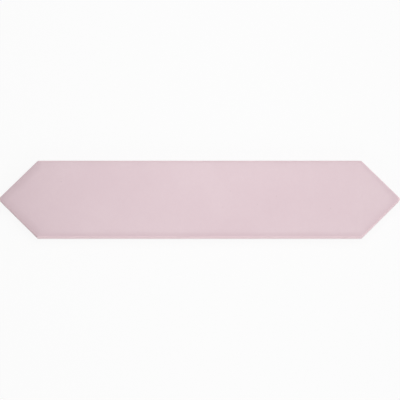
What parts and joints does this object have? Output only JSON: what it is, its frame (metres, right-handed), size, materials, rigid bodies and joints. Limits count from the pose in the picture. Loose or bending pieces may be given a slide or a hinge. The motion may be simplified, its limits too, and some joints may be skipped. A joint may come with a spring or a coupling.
{
  "type": "elongated hexagon wall tile",
  "caption": "Slim elongated hexagon wall tile, glazed, with square points at both ends, a cushion edge round its face and a keyed back that beds in adhesive.",
  "frame": {"origin": "middle of the tile's back, on the plane that its ribs and rim rest on", "axes": "+X along the tile from point to point, +Y across its width, +Z out of the glazed face"},
  "size_m": [0.25, 0.049, 0.008],
  "materials": {
    "glaze": "gloss"
  },
  "bodies": {
    "root": {"hexagon_tile": "glaze"}
  },
  "joints": []
}
